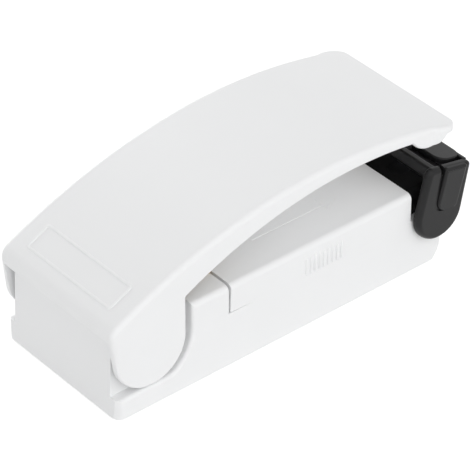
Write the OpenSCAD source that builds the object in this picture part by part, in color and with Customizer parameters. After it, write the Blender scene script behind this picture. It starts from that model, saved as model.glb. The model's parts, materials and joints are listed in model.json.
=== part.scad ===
// Mini bag sealer: a battery-powered hand sealer with a sprung arched lever.
// X runs from the hinge end to the mouth, Z is up, and the base stands on Z = 0.

/* [Base] */
// Width of the base across its sides
base_w = 38.5; // [37.5:0.5:42]
// Height of the seam where the upper parts meet the tray
seam_z = 13.9; // [13.5:0.1:15]
// Thickness of the moulded walls
wall = 1.8; // [1.5:0.1:2]
// Thickness of the tray's floor
floor_t = 1.8; // [1.4:0.1:2]
// Radius of the tray's upright corners
corner_r = 2.2; // [1.6:0.1:2.6]
// Length of the rear housing, from the rear face to the cover's gap
housing_l = 30.2; // [29.8:0.1:31.5]
// Gap between the rear housing and the cover
cover_gap = 0.4; // [0.35:0.05:0.6]
// Length of the nose ahead of the cover
nose_l = 10.1; // [9.8:0.1:10.4]
// Height of the bevel under the nose
bevel_h = 4.7; // [4.2:0.1:5.5]
// Depth of the bevel under the nose
bevel_d = 3.3; // [2.4:0.1:3.6]
// Gap between each ear and the ledge below it
ledge_gap = 0.4; // [0.35:0.05:0.8]
// Gap round each ear in its recess
recess_gap = 1.9; // [1.2:0.1:2.1]
// Depth of each recess in the base's side
recess_d = 1.85; // [1.8:0.05:2.2]
// Height of the rear wall under the lever
rear_wall_z = 20.3; // [19.8:0.1:20.4]
// Forward lean of the rear face at the rear wall's top
rear_draft = 0.9; // [0.5:0.1:1]
// Thickness of the lugs that hold the hinge's axle
lug_t = 4.5; // [4:0.1:5]
// Depth of the front block inside the cover's walls
block_inset = 0.45; // [0.35:0.05:0.8]
// Radius along the top edges of the front block
block_r = 2.5; // [1.5:0.1:3]

/* [Battery cover] */
// Height of the cover above the seam
cover_h = 7.2; // [7:0.1:7.5]
// Thickness of the cover
cover_t = 1.5; // [1.2:0.1:1.7]
// Radius along the cover's top edges
cover_r = 1.4; // [0.8:0.1:2]
// Extra length of the cover beyond a cell
cover_over = 0.8; // [0.6:0.1:1]
// Number of grip ribs on each side
rib_count = 9; // [5:1:10]
// Distance from one grip rib to the next
rib_pitch = 1.24; // [1.1:0.02:1.5]
// Width of a grip rib
rib_w = 0.6; // [0.4:0.05:0.8]
// Height of a grip rib
rib_h = 4.2; // [2.5:0.1:4.6]
// Distance of the grip ribs ahead of the cover's middle
rib_shift = 0.5; // [0:0.1:1]
// Height that the ribs and the raised frame stand above their face
mark_h = 0.25; // [0.15:0.05:0.3]
// Height that an arrow stands above the cover
arrow_h = 0.12; // [0.08:0.02:0.2]
// Length of the arrow on the cover
arrow_l = 24; // [16:1:30]
// Width of the arrow's line
arrow_w = 0.9; // [0.6:0.1:1.5]
// Width of the arrow's head
arrow_head = 4; // [3:0.5:6]
// Distance of each arrow from the middle of the cover
arrow_y = 9.4; // [7:0.2:11]

/* [Cells and contacts] */
// Diameter of a cell
cell_d = 14.5; // [13.7:0.1:14.5]
// Length of a cell with its button
cell_l = 50.5; // [49.5:0.1:50.5]
// Diameter of a cell's button
button_d = 5.5; // [4.2:0.1:5.5]
// Height of a cell's button
button_h = 1; // [1:0.1:1.5]
// Gap between the two cells
cell_gap = 0.8; // [0.5:0.1:1.6]
// Thickness of the contact metal
metal_t = 0.4; // [0.3:0.05:0.4]
// Height of a contact plate
plate_h = 9; // [8:0.2:10]
// Width of a contact plate
plate_w = 10; // [9:0.2:11]
// Width of a contact leaf above the seam
leaf_w = 4; // [3:0.2:5]
// Length of a contact leaf along the housing's top
leaf_l = 7.4; // [7:0.1:8]
// Length of a cell spring in place
cell_spring_l = 3.2; // [3:0.1:3.6]
// Radius of a cell spring at its plate
cell_spring_r = 4.2; // [4:0.1:4.5]
// Radius of a cell spring at the cell
cell_spring_tip_r = 2.2; // [2:0.1:2.4]
// Wire radius of a cell spring
cell_wire_r = 0.3; // [0.25:0.01:0.35]
// Turns of a cell spring
cell_spring_turns = 2; // [2:1:3]

/* [Lever] */
// Gap between each ear and the recess behind it
ear_gap = 0.4; // [0.35:0.05:0.6]
// Height of the lever's arch above the table
lever_top = 39.4; // [39.2:0.1:41]
// Place of the arch's crown, from the rear face
crown_x = 59.4; // [57:0.2:61]
// Radius of the arch
arch_r = 125; // [118:1:140]
// Height of the arch under the lever's skirts
skirt_top = 35.64; // [35.2:0.02:35.8]
// Place of the crown under the skirts
skirt_x = 65.9; // [64:0.1:68]
// Radius of the arch under the skirts
skirt_r = 104; // [98:1:110]
// Thickness of the lever's skin
skin_t = 1.5; // [1.3:0.1:1.6]
// Thickness of the lever's ears
ear_t = 1.6; // [1.5:0.1:1.7]
// Radius of the lever's ears
ear_r = 9.2; // [8.9:0.1:9.3]
// Distance from the rear face to the hinge's axis
hinge_x = 9.3; // [9.2:0.1:9.8]
// Height of the hinge's axis above the seam
hinge_rise = 1; // [0.8:0.1:1.2]
// Gap between the rear wall and the lever's rear skirt
rear_gap = 0.4; // [0.35:0.05:0.8]
// Distance from the cover to the lever's front edge
lip_reach = 12.85; // [12:0.05:13.4]
// Thickness of the lever's front lip
lip_t = 1.7; // [1.4:0.1:2]
// Backward lean of the lever's rear edge
rear_lean = 8.5; // [6:0.5:10]
// Radius of the corner between the lever's top and its rear edge
rear_corner_r = 3.5; // [2.5:0.1:4.5]
// Extra width of the lever's head on each side
head_flare = 0.6; // [0.4:0.1:0.8]
// Radius of the head's corners in plan
head_r = 4; // [3:0.1:4.5]
// Length of the head from its front edge
head_l = 5.75; // [5:0.25:6.5]
// Length over which the lever widens to its head
flare_l = 2; // [1.5:0.5:3]
// Radius of the rounded nose under the head
nose_r = 6; // [5.4:0.1:6.2]
// Height of the nose's axis
nose_z = 37.5; // [37.4:0.1:38.2]
// Distance from the cover to the nose's axis
nose_reach = 5; // [4.4:0.1:5.6]
// Width of the raised frame on the rear slope
frame_w = 28.8; // [20:0.2:30]
// Length of the raised frame, along the lever
frame_l = 6.5; // [4:0.1:8]
// Distance from the rear face to the raised frame
frame_x = 2.3; // [2:0.1:5]
// Width of the raised frame's line
frame_line = 0.7; // [0.4:0.1:1]

/* [Lever inside] */
// Depth of the under-plate below the lever's top
plate_depth = 2.2; // [2.1:0.05:2.3]
// Thickness of the under-plate
underplate_t = 0.8; // [0.7:0.05:0.9]
// Gap at each side of the under-plate
plate_gap = 0.2; // [0.1:0.05:0.4]
// Distance of the under-plate's end behind the nose
plate_back = 3.6; // [3:0.2:5]
// Width of a stiffening rib under the skin
stiffener_w = 1.4; // [1:0.1:2]
// Distance of each stiffening rib from the middle
stiffener_y = 6; // [5:0.2:7.4]
// Width of a current strip
bus_w = 3; // [2.4:0.1:3.2]
// Distance of each current strip from the middle
bus_y = 11; // [10.8:0.1:11.4]
// Diameter of a contact stud
stud_d = 3; // [2.4:0.1:3]
// Gap that the contact studs close when the lever is pressed
stud_gap = 1.35; // [1.3:0.05:1.6]
// Distance from the hinge's axis to the studs and the return spring
spring_reach = 15.7; // [15.3:0.1:16]
// Mean radius of the return spring
spring_r = 3.2; // [3:0.1:3.4]
// Wire radius of the return spring
spring_wire_r = 0.4; // [0.3:0.02:0.45]
// Turns of the return spring
spring_turns = 6; // [5:1:7]
// Depth of the pocket for the return spring
pocket_d = 5.6; // [5:0.1:5.7]
// Height of the spring's upper seat above the housing
seat_rise = 8.4; // [8:0.1:9]
// Gap round the return spring in its pocket
pocket_gap = 0.6; // [0.4:0.1:0.8]
// Distance from the nose's axis to the heater's middle
heater_reach = 1.1; // [0.8:0.1:1.3]
// Width of the heater's carrier
carrier_w = 5; // [4.4:0.1:5]
// Length of the heater's carrier, across the lever
carrier_l = 20; // [18:0.2:20]
// Height of the heater's carrier
carrier_h = 2; // [1.6:0.1:2.1]
// Distance that the heater stands below the nose
heater_drop = 0.4; // [0.3:0.05:0.5]
// Width of the heating strip
strip_w = 2.4; // [1.6:0.1:3]
// Thickness of the heating strip
strip_t = 0.2; // [0.15:0.01:0.25]
// Thickness of the release tape
tape_t = 0.15; // [0.12:0.01:0.18]
// Height of the release tape on the carrier's sides
tape_h = 1.2; // [0.8:0.1:1.4]

/* [Swing jaw] */
// Distance from the cover to the jaw's axis
jaw_reach = 6.3; // [6.2:0.05:6.5]
// Forward lean of the jaw
jaw_lean = 11.5; // [10.5:0.25:12]
// Radius of the round lower end of an arm
arm_r = 7.2; // [6.8:0.1:7.3]
// Height of the arms and of the saddle above the axis
arm_h = 11; // [10.7:0.1:11]
// Thickness of an arm
arm_t = 1.8; // [1.7:0.1:2.2]
// Clearance between each arm and the base's side
arm_gap = 0.35; // [0.32:0.01:0.6]
// Height of the crossbar's underside above the axis
bar_z = 7.5; // [7.4:0.05:7.6]
// Width of the rib behind the trough
rear_rib_w = 3.6; // [3.2:0.1:3.8]
// Width of the trough in the saddle
trough_w = 4; // [3.6:0.1:4.4]
// Depth of the trough
trough_d = 2.3; // [2:0.1:2.4]
// Height that the saddle's front wall stands above the arms
front_wall_rise = 0.2; // [0.1:0.05:0.2]
// Step from the front wall down to each arm
front_step = 1; // [0.6:0.1:1.4]
// Width of that step
front_step_w = 1; // [0.8:0.1:1.4]
// Radius of the front wall's ends in plan
wall_end_r = 2.8; // [2:0.1:3.2]
// Distance that the tongue stands out from an arm
tongue_t = 0.6; // [0.3:0.05:0.8]
// Width of an arm behind its tongue
tongue_inset = 5.5; // [4.6:0.1:5.6]
// Distance that the tongue reaches below the axis
tongue_drop = 0.5; // [0.2:0.1:1.5]
// Radius of the tongue's lower corner
tongue_r = 2.8; // [2:0.1:3.2]
// Margin of the tongue from the arm's front edge
tongue_margin = 1.2; // [0.9:0.1:1.5]
// Length of the sealing pad, across the jaw
pad_l = 19; // [16:0.5:22]

/* [Pins and screws] */
// Diameter of the hinge's axle
axle_d = 4; // [3.6:0.1:4.2]
// Diameter of a jaw pin
jaw_pin_d = 3; // [2.6:0.1:3.1]
// Depth of a jaw pin in the front block
jaw_pin_depth = 4.2; // [3.6:0.1:4.6]
// Gap at the end of a pin in its blind bore
end_gap = 0.2; // [0.1:0.05:0.3]
// Radial running clearance at the hinge and the jaw
run_gap = 0.05; // [0.03:0.01:0.08]
// Radial clearance of a fixed pin or screw
fit_gap = 0.02; // [0.02:0.01:0.04]
// Wall left at the end of a blind bore
blind_wall = 0.6; // [0.5:0.05:0.7]
// Diameter of a screw
screw_d = 2.8; // [2.4:0.1:3]
// Diameter of a screw's head
head_d = 4.8; // [4.4:0.1:5]
// Height of a screw's head
head_h = 1.5; // [1.2:0.1:1.6]
// Diameter of a screw post
post_d = 6.4; // [6:0.1:6.8]
// Distance from the hinge's axis to the rear screws
rear_screw_reach = 7; // [6.6:0.1:7.4]
// Distance from the crown to the under-plate's screws
plate_screw_reach = 14.5; // [10:0.5:18]
// Distance of each screw from the middle
screw_y = 8; // [7.6:0.1:8.4]

/* [Hidden] */
fine = 96;
broad = 360;
small = 32;
far = 200;
slip = 0.01;
turn_steps = 12;
steep = 0.8;
half_w = base_w / 2;
cover_x0 = housing_l + cover_gap;
cover_l = cell_l + cover_over;
cover_x1 = cover_x0 + cover_l;
base_l = cover_x1 + nose_l;
cover_top = seam_z + cover_h;
recess_half = half_w - recess_d;
recess_r = ear_r + recess_gap;
recess_x = hinge_x + recess_r;
hinge_z = seam_z + hinge_rise;
ledge_z = hinge_z - ear_r - ledge_gap;
roof_z = rear_wall_z - wall;
bay_x0 = housing_l - metal_t;
plate_x0 = bay_x0 + metal_t;
cell_x0 = plate_x0 + cell_spring_l;
bay_x1 = cell_x0 + cell_l + metal_t;
cell_y = (cell_d + cell_gap) / 2;
cell_z = floor_t + cell_gap / 2 + cell_d / 2;
cell_top = cell_z + cell_d / 2 + cell_gap / 2;
block_half = half_w - cover_t - block_inset;
block_top = cover_top - cover_t - block_inset;
jaw_pin_in = block_half - jaw_pin_depth;
ear_in = recess_half + ear_gap;
lever_half = ear_in + ear_t;
lever_w = 2 * lever_half;
bore_end = lever_half - blind_wall;
axle_half = bore_end - end_gap;
rear_skirt_z = rear_wall_z + rear_gap;
arch_z = lever_top - arch_r;
arch_mid = [crown_x, arch_z];
lean_in = [cos(rear_lean), sin(rear_lean)];
lean_dir = [-sin(rear_lean), cos(rear_lean)];
lean_foot = [hinge_x, hinge_z] - ear_r * lean_in;
corner_from = lean_foot + rear_corner_r * lean_in - arch_mid;
corner_side = corner_from * lean_dir;
corner_run = sqrt(pow(corner_side, 2) - corner_from * corner_from + pow(arch_r - rear_corner_r, 2));
corner_mid = arch_mid + corner_from + (corner_run - corner_side) * lean_dir;
lip_x = cover_x1 + lip_reach;
nose_x = cover_x1 + nose_reach;
nose_low = nose_z - nose_r;
cavity_x1 = nose_x - nose_r + wall / 2;
spring_x = hinge_x + spring_reach;
seat_z = cover_top + seat_rise;
pocket_z = cover_top - pocket_d;
pocket_r = spring_r + spring_wire_r + pocket_gap;
spigot_r = spring_r - 2 * spring_wire_r;
heater_x = nose_x + heater_reach;
carrier_x0 = heater_x - carrier_w / 2;
carrier_x1 = heater_x + carrier_w / 2;
tip_z = nose_low - heater_drop;
carrier_z = tip_z + strip_t + tape_t;
bus_depth = skin_t + metal_t;
underplate_depth = plate_depth + underplate_t;
jaw_x = cover_x1 + jaw_reach;
jaw_z = seam_z + hinge_rise;
arm_in = half_w + arm_gap;
arm_out = arm_in + arm_t;
trough_x = rear_rib_w - arm_r;
wall_x0 = trough_x + trough_w;
wall_half = arm_in - front_step_w;
trough_z = arm_h - trough_d;
jaw_bore_end = arm_out - blind_wall;
jaw_pin_end = jaw_bore_end - end_gap;
stud_z = cover_top + metal_t + stud_gap;
front_screw_x = jaw_x;
rear_screw_x = hinge_x + rear_screw_reach;
rear_post_top = rear_wall_z - wall;
screw_len_rear = rear_post_top - floor_t - head_h;
screw_len_front = block_top - head_h - ledge_z;
flat_head_h = head_h / 2;
underplate_x0 = spring_x + pocket_r + wall;
underplate_x1 = cavity_x1 - plate_back;

function arch_height(x) = arch_z + sqrt(arch_r * arch_r - (x - crown_x) * (x - crown_x));

// Points of one ring of a round wire whose middle and direction are given.
function wire_ring(mid, dir, r, sides) =
    let(side_raw = abs(dir[2]) < steep ? cross(dir, [0, 0, 1]) : cross(dir, [1, 0, 0]),
        side = side_raw / norm(side_raw),
        up = cross(dir, side) / norm(cross(dir, side)))
    [for (k = [0 : sides - 1]) mid + r * (cos(360 * k / sides) * side + sin(360 * k / sides) * up)];

function unit(v) = v / norm(v);

function path_dir(path, i) =
    unit(path[min(i + 1, len(path) - 1)] - path[max(i - 1, 0)]);

// Least gap between turns of a wire, leaving out the neighbours within half a turn.
function turn_gap(path, skip, r) =
    min([for (i = [0 : len(path) - 1]) for (j = [i + skip : len(path) - 1]) if (j < len(path))
        norm(path[i] - path[j])]) - 2 * r;

module wire(path, r, sides = 6) {
    rings = len(path);
    pts = [for (i = [0 : rings - 1]) each wire_ring(path[i], path_dir(path, i), r, sides)];
    skin = [for (i = [0 : rings - 2]) for (k = [0 : sides - 1])
        let(a = i * sides + k, b = i * sides + (k + 1) % sides)
        each [[a, b, b + sides], [a, b + sides, a + sides]]];
    start = [[for (k = [0 : sides - 1]) sides - 1 - k]];
    end = [[for (k = [0 : sides - 1]) (rings - 1) * sides + k]];
    polyhedron(pts, concat(skin, start, end));
}

// An outline drawn in X and Z, given a width centred on the middle plane.
module across(w) {
    rotate([90, 0, 0])
        linear_extrude(w, center = true)
            children();
}

// The same outline between two distances from the middle plane, on both sides.
module on_sides(y0, y1) {
    for (s = [0, 1])
        mirror([0, s, 0])
            translate([0, y1, 0])
                rotate([90, 0, 0])
                    linear_extrude(y1 - y0)
                        children();
}

module box(x, y, z) {
    translate([x[0], y[0], z[0]])
        cube([x[1] - x[0], y[1] - y[0], z[1] - z[0]]);
}

module mid_box(x, half, z) {
    box(x, [-half, half], z);
}

module pair(y) {
    for (s = [-1, 1])
        translate([0, s * y, 0])
            children();
}

// A round bar across the part, between two distances from the middle plane on both sides.
module cross_pin(x, z, r, y0, y1) {
    for (s = [0, 1])
        mirror([0, s, 0])
            translate([x, y0, z])
                rotate([-90, 0, 0])
                    cylinder(y1 - y0, r, r, $fn = fine);
}

module placed() {
    translate([-base_l / 2, 0, 0])
        children();
}

module arch_2d(r) {
    translate([crown_x, arch_z])
        circle(r, $fn = broad);
}

module arch_band(depth0, depth1, x0, x1) {
    intersection() {
        difference() {
            arch_2d(arch_r - depth0);
            arch_2d(arch_r - depth1);
        }
        translate([x0, cover_top])
            square([x1 - x0, lever_top]);
    }
}

// A plan with rounded corners, between two places along X.
module round_plan(x0, x1, half, r) {
    translate([x0 + r, -half])
        square([x1 - x0 - 2 * r, 2 * half]);
    translate([x0, r - half])
        square([x1 - x0, 2 * half - 2 * r]);
    for (x = [x0 + r, x1 - r])
        for (s = [-1, 1])
            translate([x, s * (half - r)])
                circle(r, $fn = fine);
}

// A cross-section that stands on the seam, with rounded upper corners.
module round_top(half, top, r) {
    translate([-half, seam_z])
        square([2 * half, top - r - seam_z]);
    translate([r - half, seam_z])
        square([2 * half - 2 * r, top - seam_z]);
    for (s = [-1, 1])
        translate([s * (half - r), top - r])
            circle(r, $fn = small);
}

module recess_2d() {
    intersection() {
        union() {
            translate([hinge_x, hinge_z])
                circle(recess_r, $fn = fine);
            translate([-far, 0])
                square([far + hinge_x, far]);
            translate([hinge_x, hinge_z])
                square([recess_r, far]);
        }
        translate([-far, ledge_z])
            square([2 * far, far]);
    }
}

module axle_hole(gap) {
    cross_pin(hinge_x, hinge_z, axle_d / 2 + gap, -slip, half_w);
}

module screw_hole(length, d) {
    cylinder(length, d / 2 + fit_gap, d / 2 + fit_gap, $fn = fine);
}

// The space behind the rear face, which leans forward as it rises.
module rear_slope() {
    across(2 * base_w)
        polygon([[-wall, 0], [0, 0], [2 * rear_draft, 2 * rear_wall_z], [-wall, 2 * rear_wall_z]]);
}

module base_tray() {
    color([0.93, 0.93, 0.93])
        placed()
            difference() {
                union() {
                    difference() {
                        union() {
                            linear_extrude(seam_z)
                                round_plan(0, base_l, half_w, corner_r);
                            mid_box([0, wall], recess_half, [0, rear_wall_z]);
                        }
                        rear_slope();
                        mid_box([wall, recess_x + wall], recess_half - wall, [floor_t, far]);
                        mid_box([recess_x + wall, bay_x0 - wall], half_w - wall, [floor_t, far]);
                        mid_box([bay_x0, bay_x1], half_w - wall, [floor_t, far]);
                        on_sides(recess_half, half_w + wall)
                            recess_2d();
                        across(base_w + wall)
                            polygon([[base_l - bevel_d, -slip], [base_l + slip, -slip],
                                [base_l + slip, bevel_h]]);
                    }
                    pair(screw_y)
                        translate([rear_screw_x, 0, 0])
                            cylinder(seam_z, post_d / 2, post_d / 2, $fn = fine);
                    for (x = [cell_x0 + cell_l / 4, cell_x0 + cell_l * 3 / 4])
                        mid_box([x, x + wall], cell_gap / 2, [0, cell_z]);
                }
                axle_hole(fit_gap);
                cross_pin(jaw_x, jaw_z, jaw_pin_d / 2 + fit_gap, jaw_pin_in, half_w + wall);
                pair(screw_y) {
                    translate([rear_screw_x, 0, -slip]) {
                        screw_hole(floor_t + head_h + slip, head_d);
                        screw_hole(far, screw_d);
                    }
                    translate([front_screw_x, 0, ledge_z])
                        screw_hole(far, screw_d);
                }
            }
}

// Grooves in the housing's face that take the contact leaves.
module leaf_grooves() {
    pair(bus_y)
        mid_box([bay_x0, housing_l + slip], leaf_w / 2 + fit_gap, [cell_z, far]);
    groove_top = cell_z + plate_h / 2 + fit_gap;
    pair(cell_y)
        mid_box([bay_x0, housing_l + slip], plate_w / 2 + fit_gap, [cell_z, groove_top]);
}

module rear_housing() {
    color([0.93, 0.93, 0.93])
        placed()
            difference() {
                union() {
                    mid_box([wall + fit_gap, recess_x], recess_half, [seam_z, rear_wall_z]);
                    translate([recess_x - slip, 0, 0])
                        rotate([90, 0, 90])
                            linear_extrude(housing_l - recess_x + slip)
                                round_top(half_w, cover_top, cover_r);
                }
                leaf_grooves();
                difference() {
                    mid_box([wall, recess_x], recess_half - lug_t, [seam_z - slip, roof_z]);
                    pair(screw_y)
                        translate([rear_screw_x, 0, 0])
                            cylinder(far, post_d / 2, post_d / 2, $fn = fine);
                }
                axle_hole(fit_gap);
                pair(screw_y)
                    translate([rear_screw_x, 0, 0])
                        screw_hole(rear_post_top, screw_d);
                translate([spring_x, 0, pocket_z])
                    cylinder(far, pocket_r, pocket_r, $fn = fine);
            }
}

module front_block() {
    color([0.06, 0.06, 0.06])
        placed()
            difference() {
                translate([cover_x1 + cover_gap, 0, 0])
                    rotate([90, 0, 90])
                        linear_extrude(base_l - cover_x1 - cover_gap)
                            round_top(block_half, block_top, block_r);
                mid_box([cover_x1, bay_x1], half_w - 2 * wall, [seam_z - slip, cell_top]);
                cross_pin(jaw_x, jaw_z, jaw_pin_d / 2 + fit_gap, jaw_pin_in, half_w);
                pair(screw_y)
                    translate([front_screw_x, 0, 0]) {
                        translate([0, 0, block_top - head_h])
                            screw_hole(far, head_d);
                        screw_hole(far, screw_d);
                    }
            }
}

module hinge_axle() {
    color([0.7, 0.7, 0.72])
        placed()
            translate([hinge_x, axle_half, hinge_z])
                rotate([90, 0, 0])
                    cylinder(2 * axle_half, axle_d / 2, axle_d / 2, $fn = fine);
}

module jaw_pins() {
    color([0.7, 0.7, 0.72])
        placed()
            cross_pin(jaw_x, jaw_z, jaw_pin_d / 2, jaw_pin_in, jaw_pin_end);
}

module cell() {
    rotate([0, 90, 0]) {
        cylinder(cell_l - button_h, cell_d / 2, cell_d / 2, $fn = fine);
        cylinder(cell_l, button_d / 2, button_d / 2, $fn = fine);
    }
}

module battery_left() {
    color([0.25, 0.3, 0.35])
        placed()
            translate([cell_x0, cell_y, cell_z])
                cell();
}

module battery_right() {
    color([0.25, 0.3, 0.35])
        placed()
            translate([plate_x0 + cell_l, -cell_y, cell_z])
                mirror([1, 0, 0])
                    cell();
}

// A plate behind a cell, with a leaf that runs up the housing's face and back along its top.
module contact_leaf() {
    plate_y = [cell_y - plate_w / 2, cell_y + plate_w / 2];
    leaf_y = [bus_y - leaf_w / 2, bus_y + leaf_w / 2];
    box([bay_x0, plate_x0], plate_y, [cell_z - plate_h / 2, cell_z + plate_h / 2]);
    box([bay_x0, plate_x0], leaf_y, [cell_z, cover_top + metal_t]);
    box([bay_x0 - leaf_l, plate_x0], leaf_y, [cover_top, cover_top + metal_t]);
}

module contact_leaf_left() {
    color([0.8, 0.7, 0.45])
        placed()
            contact_leaf();
}

module contact_leaf_right() {
    color([0.8, 0.7, 0.45])
        placed()
            mirror([0, 1, 0])
                contact_leaf();
}

module contact_bridge() {
    bridge_half = cell_y + plate_w / 2;
    color([0.8, 0.7, 0.45])
        placed()
            mid_box([bay_x1 - metal_t, bay_x1], bridge_half, [cell_z - plate_h / 2, cell_z + plate_h / 2]);
}

// A tapered coil along X, from its plate to the cell's flat end.
function cell_spring_path() =
    let(steps = cell_spring_turns * turn_steps, run = cell_spring_l - 2 * cell_wire_r)
    [for (i = [0 : steps])
        let(a = 360 * cell_spring_turns * i / steps,
            r = cell_spring_r + (cell_spring_tip_r - cell_spring_r) * i / steps)
        [cell_wire_r + run * i / steps, r * cos(a), r * sin(a)]];

module contact_spring_left() {
    color([0.75, 0.75, 0.77])
        placed()
            translate([plate_x0, cell_y, cell_z])
                wire(cell_spring_path(), cell_wire_r);
}

module contact_spring_right() {
    color([0.75, 0.75, 0.77])
        placed()
            translate([bay_x1 - metal_t, -cell_y, cell_z])
                rotate([0, 0, 180])
                    wire(cell_spring_path(), cell_wire_r);
}

function return_spring_path() =
    let(steps = spring_turns * turn_steps, run = seat_z - pocket_z - 2 * spring_wire_r)
    [for (i = [0 : steps])
        let(a = 360 * spring_turns * i / steps)
        [spring_r * cos(a), spring_r * sin(a), spring_wire_r + run * i / steps]];

echo(return_spring_gap = turn_gap(return_spring_path(), turn_steps / 2, spring_wire_r));
echo(cell_spring_gap = turn_gap(cell_spring_path(), turn_steps / 2, cell_wire_r));

module return_spring() {
    color([0.75, 0.75, 0.77])
        placed()
            translate([spring_x, 0, pocket_z])
                wire(return_spring_path(), spring_wire_r);
}

module screw(length) {
    cylinder(head_h, head_d / 2, head_d / 2, $fn = fine);
    cylinder(head_h + length, screw_d / 2, screw_d / 2, $fn = fine);
}

module case_screws() {
    color([0.7, 0.7, 0.72])
        placed()
            pair(screw_y) {
                translate([rear_screw_x, 0, floor_t])
                    screw(screw_len_rear);
                translate([front_screw_x, 0, block_top])
                    mirror([0, 0, 1])
                        screw(screw_len_front);
            }
}

module blade_2d() {
    difference() {
        intersection() {
            arch_2d(arch_r);
            translate([hinge_x, hinge_z])
                square([nose_x - hinge_x, lever_top]);
        }
        translate([skirt_x, skirt_top - skirt_r])
            circle(skirt_r, $fn = broad);
    }
}

// The ear's disc, its straight front edge and its leaning rear edge.
module ear_2d() {
    intersection() {
        arch_2d(arch_r);
        union() {
            translate([hinge_x, hinge_z])
                circle(ear_r, $fn = fine);
            translate([hinge_x, hinge_z])
                square([ear_r, lever_top]);
            polygon([[hinge_x, hinge_z], [hinge_x, lever_top],
                lean_foot + lever_top * lean_dir, lean_foot]);
        }
    }
}

// The ear with its upper rear corner rounded.
module rear_2d() {
    line_point = corner_mid - rear_corner_r * lean_in;
    arch_point = arch_mid + arch_r * unit(corner_mid - arch_mid);
    outside = corner_mid + 2 * (line_point - corner_mid) + 2 * (arch_point - corner_mid);
    difference() {
        ear_2d();
        polygon([line_point, outside, arch_point]);
    }
    translate(corner_mid)
        circle(rear_corner_r, $fn = fine);
}

// The rounded nose, and the lip that runs on ahead of it until the plan ends it.
module head_2d() {
    intersection() {
        arch_2d(arch_r);
        union() {
            translate([nose_x, nose_z])
                circle(nose_r, $fn = fine);
            difference() {
                translate([nose_x, nose_low])
                    square([lip_x - nose_x + head_r, nose_r]);
                arch_2d(arch_r - lip_t);
            }
        }
    }
}

module lever_plan() {
    head_half = lever_half + head_flare;
    head_x = lip_x - head_l;
    translate([hinge_x - 2 * ear_r, -lever_half])
        square([lip_x - head_r - hinge_x + 2 * ear_r, lever_w]);
    polygon([[head_x - flare_l, -lever_half], [head_x, -head_half], [lip_x - head_r, -head_half],
        [lip_x - head_r, head_half], [head_x, head_half], [head_x - flare_l, lever_half]]);
    translate([lip_x - 2 * head_r, head_r - head_half])
        square([2 * head_r, 2 * head_half - 2 * head_r]);
    for (s = [-1, 1])
        translate([lip_x - head_r, s * (head_half - head_r)])
            circle(head_r, $fn = fine);
}

module lever_body() {
    intersection() {
        across(2 * lever_w) {
            blade_2d();
            rear_2d();
            head_2d();
        }
        linear_extrude(far)
            lever_plan();
    }
}

// The hollow under the skin, between the lever's sides.
module lever_hollow() {
    rear_x = hinge_x - ear_r + skin_t;
    across(2 * ear_in)
        intersection() {
            arch_2d(arch_r - skin_t);
            translate([rear_x, 0])
                square([cavity_x1 - rear_x, far]);
        }
    mid_box([-far, hinge_x], ear_in, [0, rear_skirt_z]);
}

module heater_slot() {
    slot_x0 = carrier_x0 - 2 * metal_t;
    mid_box([slot_x0, carrier_x1 + tape_t], carrier_l / 2 + bus_w, [0, carrier_z + carrier_h]);
    across(2 * bus_y + bus_w)
        arch_band(skin_t, bus_depth, cavity_x1 - slip, carrier_x0);
    pair(bus_y)
        mid_box([slot_x0, carrier_x0], bus_w / 2, [0, arch_height(carrier_x0) - skin_t]);
}

// Frame that stays plain, raised on the lever's rear slope.
module raised_frame() {
    intersection() {
        across(lever_w)
            difference() {
                arch_2d(arch_r + mark_h);
                arch_2d(arch_r - mark_h);
            }
        translate([frame_x, 0, hinge_z])
            linear_extrude(far)
                difference() {
                    translate([0, -frame_w / 2])
                        square([frame_l, frame_w]);
                    translate([frame_line, frame_line - frame_w / 2])
                        square([frame_l - 2 * frame_line, frame_w - 2 * frame_line]);
                }
    }
}

module lever_shell() {
    color([0.93, 0.93, 0.93])
        placed()
            difference() {
                union() {
                    difference() {
                        lever_body();
                        lever_hollow();
                        heater_slot();
                    }
                    intersection() {
                        union() {
                            translate([spring_x, 0, seat_z])
                                cylinder(far, pocket_r, pocket_r, $fn = fine);
                            translate([spring_x, 0, seat_z - spring_r])
                                cylinder(far, spigot_r, spigot_r, $fn = fine);
                        }
                        across(lever_w)
                            arch_2d(arch_r - skin_t + slip);
                    }
                    pair(stiffener_y)
                        across(stiffener_w)
                            arch_band(skin_t - slip, plate_depth, underplate_x0, cavity_x1 + slip);
                    raised_frame();
                }
                cross_pin(hinge_x, hinge_z, axle_d / 2 + run_gap, -slip, bore_end);
            }
}

// Places a piece under the arch, turned to stand square to it.
module under_arch(reach, depth) {
    translate([crown_x, 0, arch_z])
        rotate([0, asin(reach / arch_r), 0])
            translate([0, 0, arch_r - depth])
                children();
}

module lever_underplate() {
    color([0.9, 0.9, 0.9])
        placed()
            difference() {
                across(2 * ear_in - 2 * plate_gap)
                    arch_band(plate_depth + fit_gap, underplate_depth, underplate_x0, underplate_x1);
                for (reach = [-plate_screw_reach, plate_screw_reach])
                    under_arch(reach, underplate_depth + wall)
                        screw_hole(underplate_depth, screw_d);
            }
}

module underplate_screws() {
    shank = flat_head_h + underplate_depth - skin_t;
    color([0.7, 0.7, 0.72])
        placed()
            for (reach = [-plate_screw_reach, plate_screw_reach])
                under_arch(reach, underplate_depth + 2 * fit_gap + flat_head_h)
                    union() {
                        cylinder(flat_head_h, head_d / 2, head_d / 2, $fn = fine);
                        cylinder(shank, screw_d / 2, screw_d / 2, $fn = fine);
                    }
}

module heater_carrier() {
    color([0.55, 0.42, 0.3])
        placed()
            mid_box([carrier_x0, carrier_x1], carrier_l / 2, [carrier_z, carrier_z + carrier_h]);
}

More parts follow.
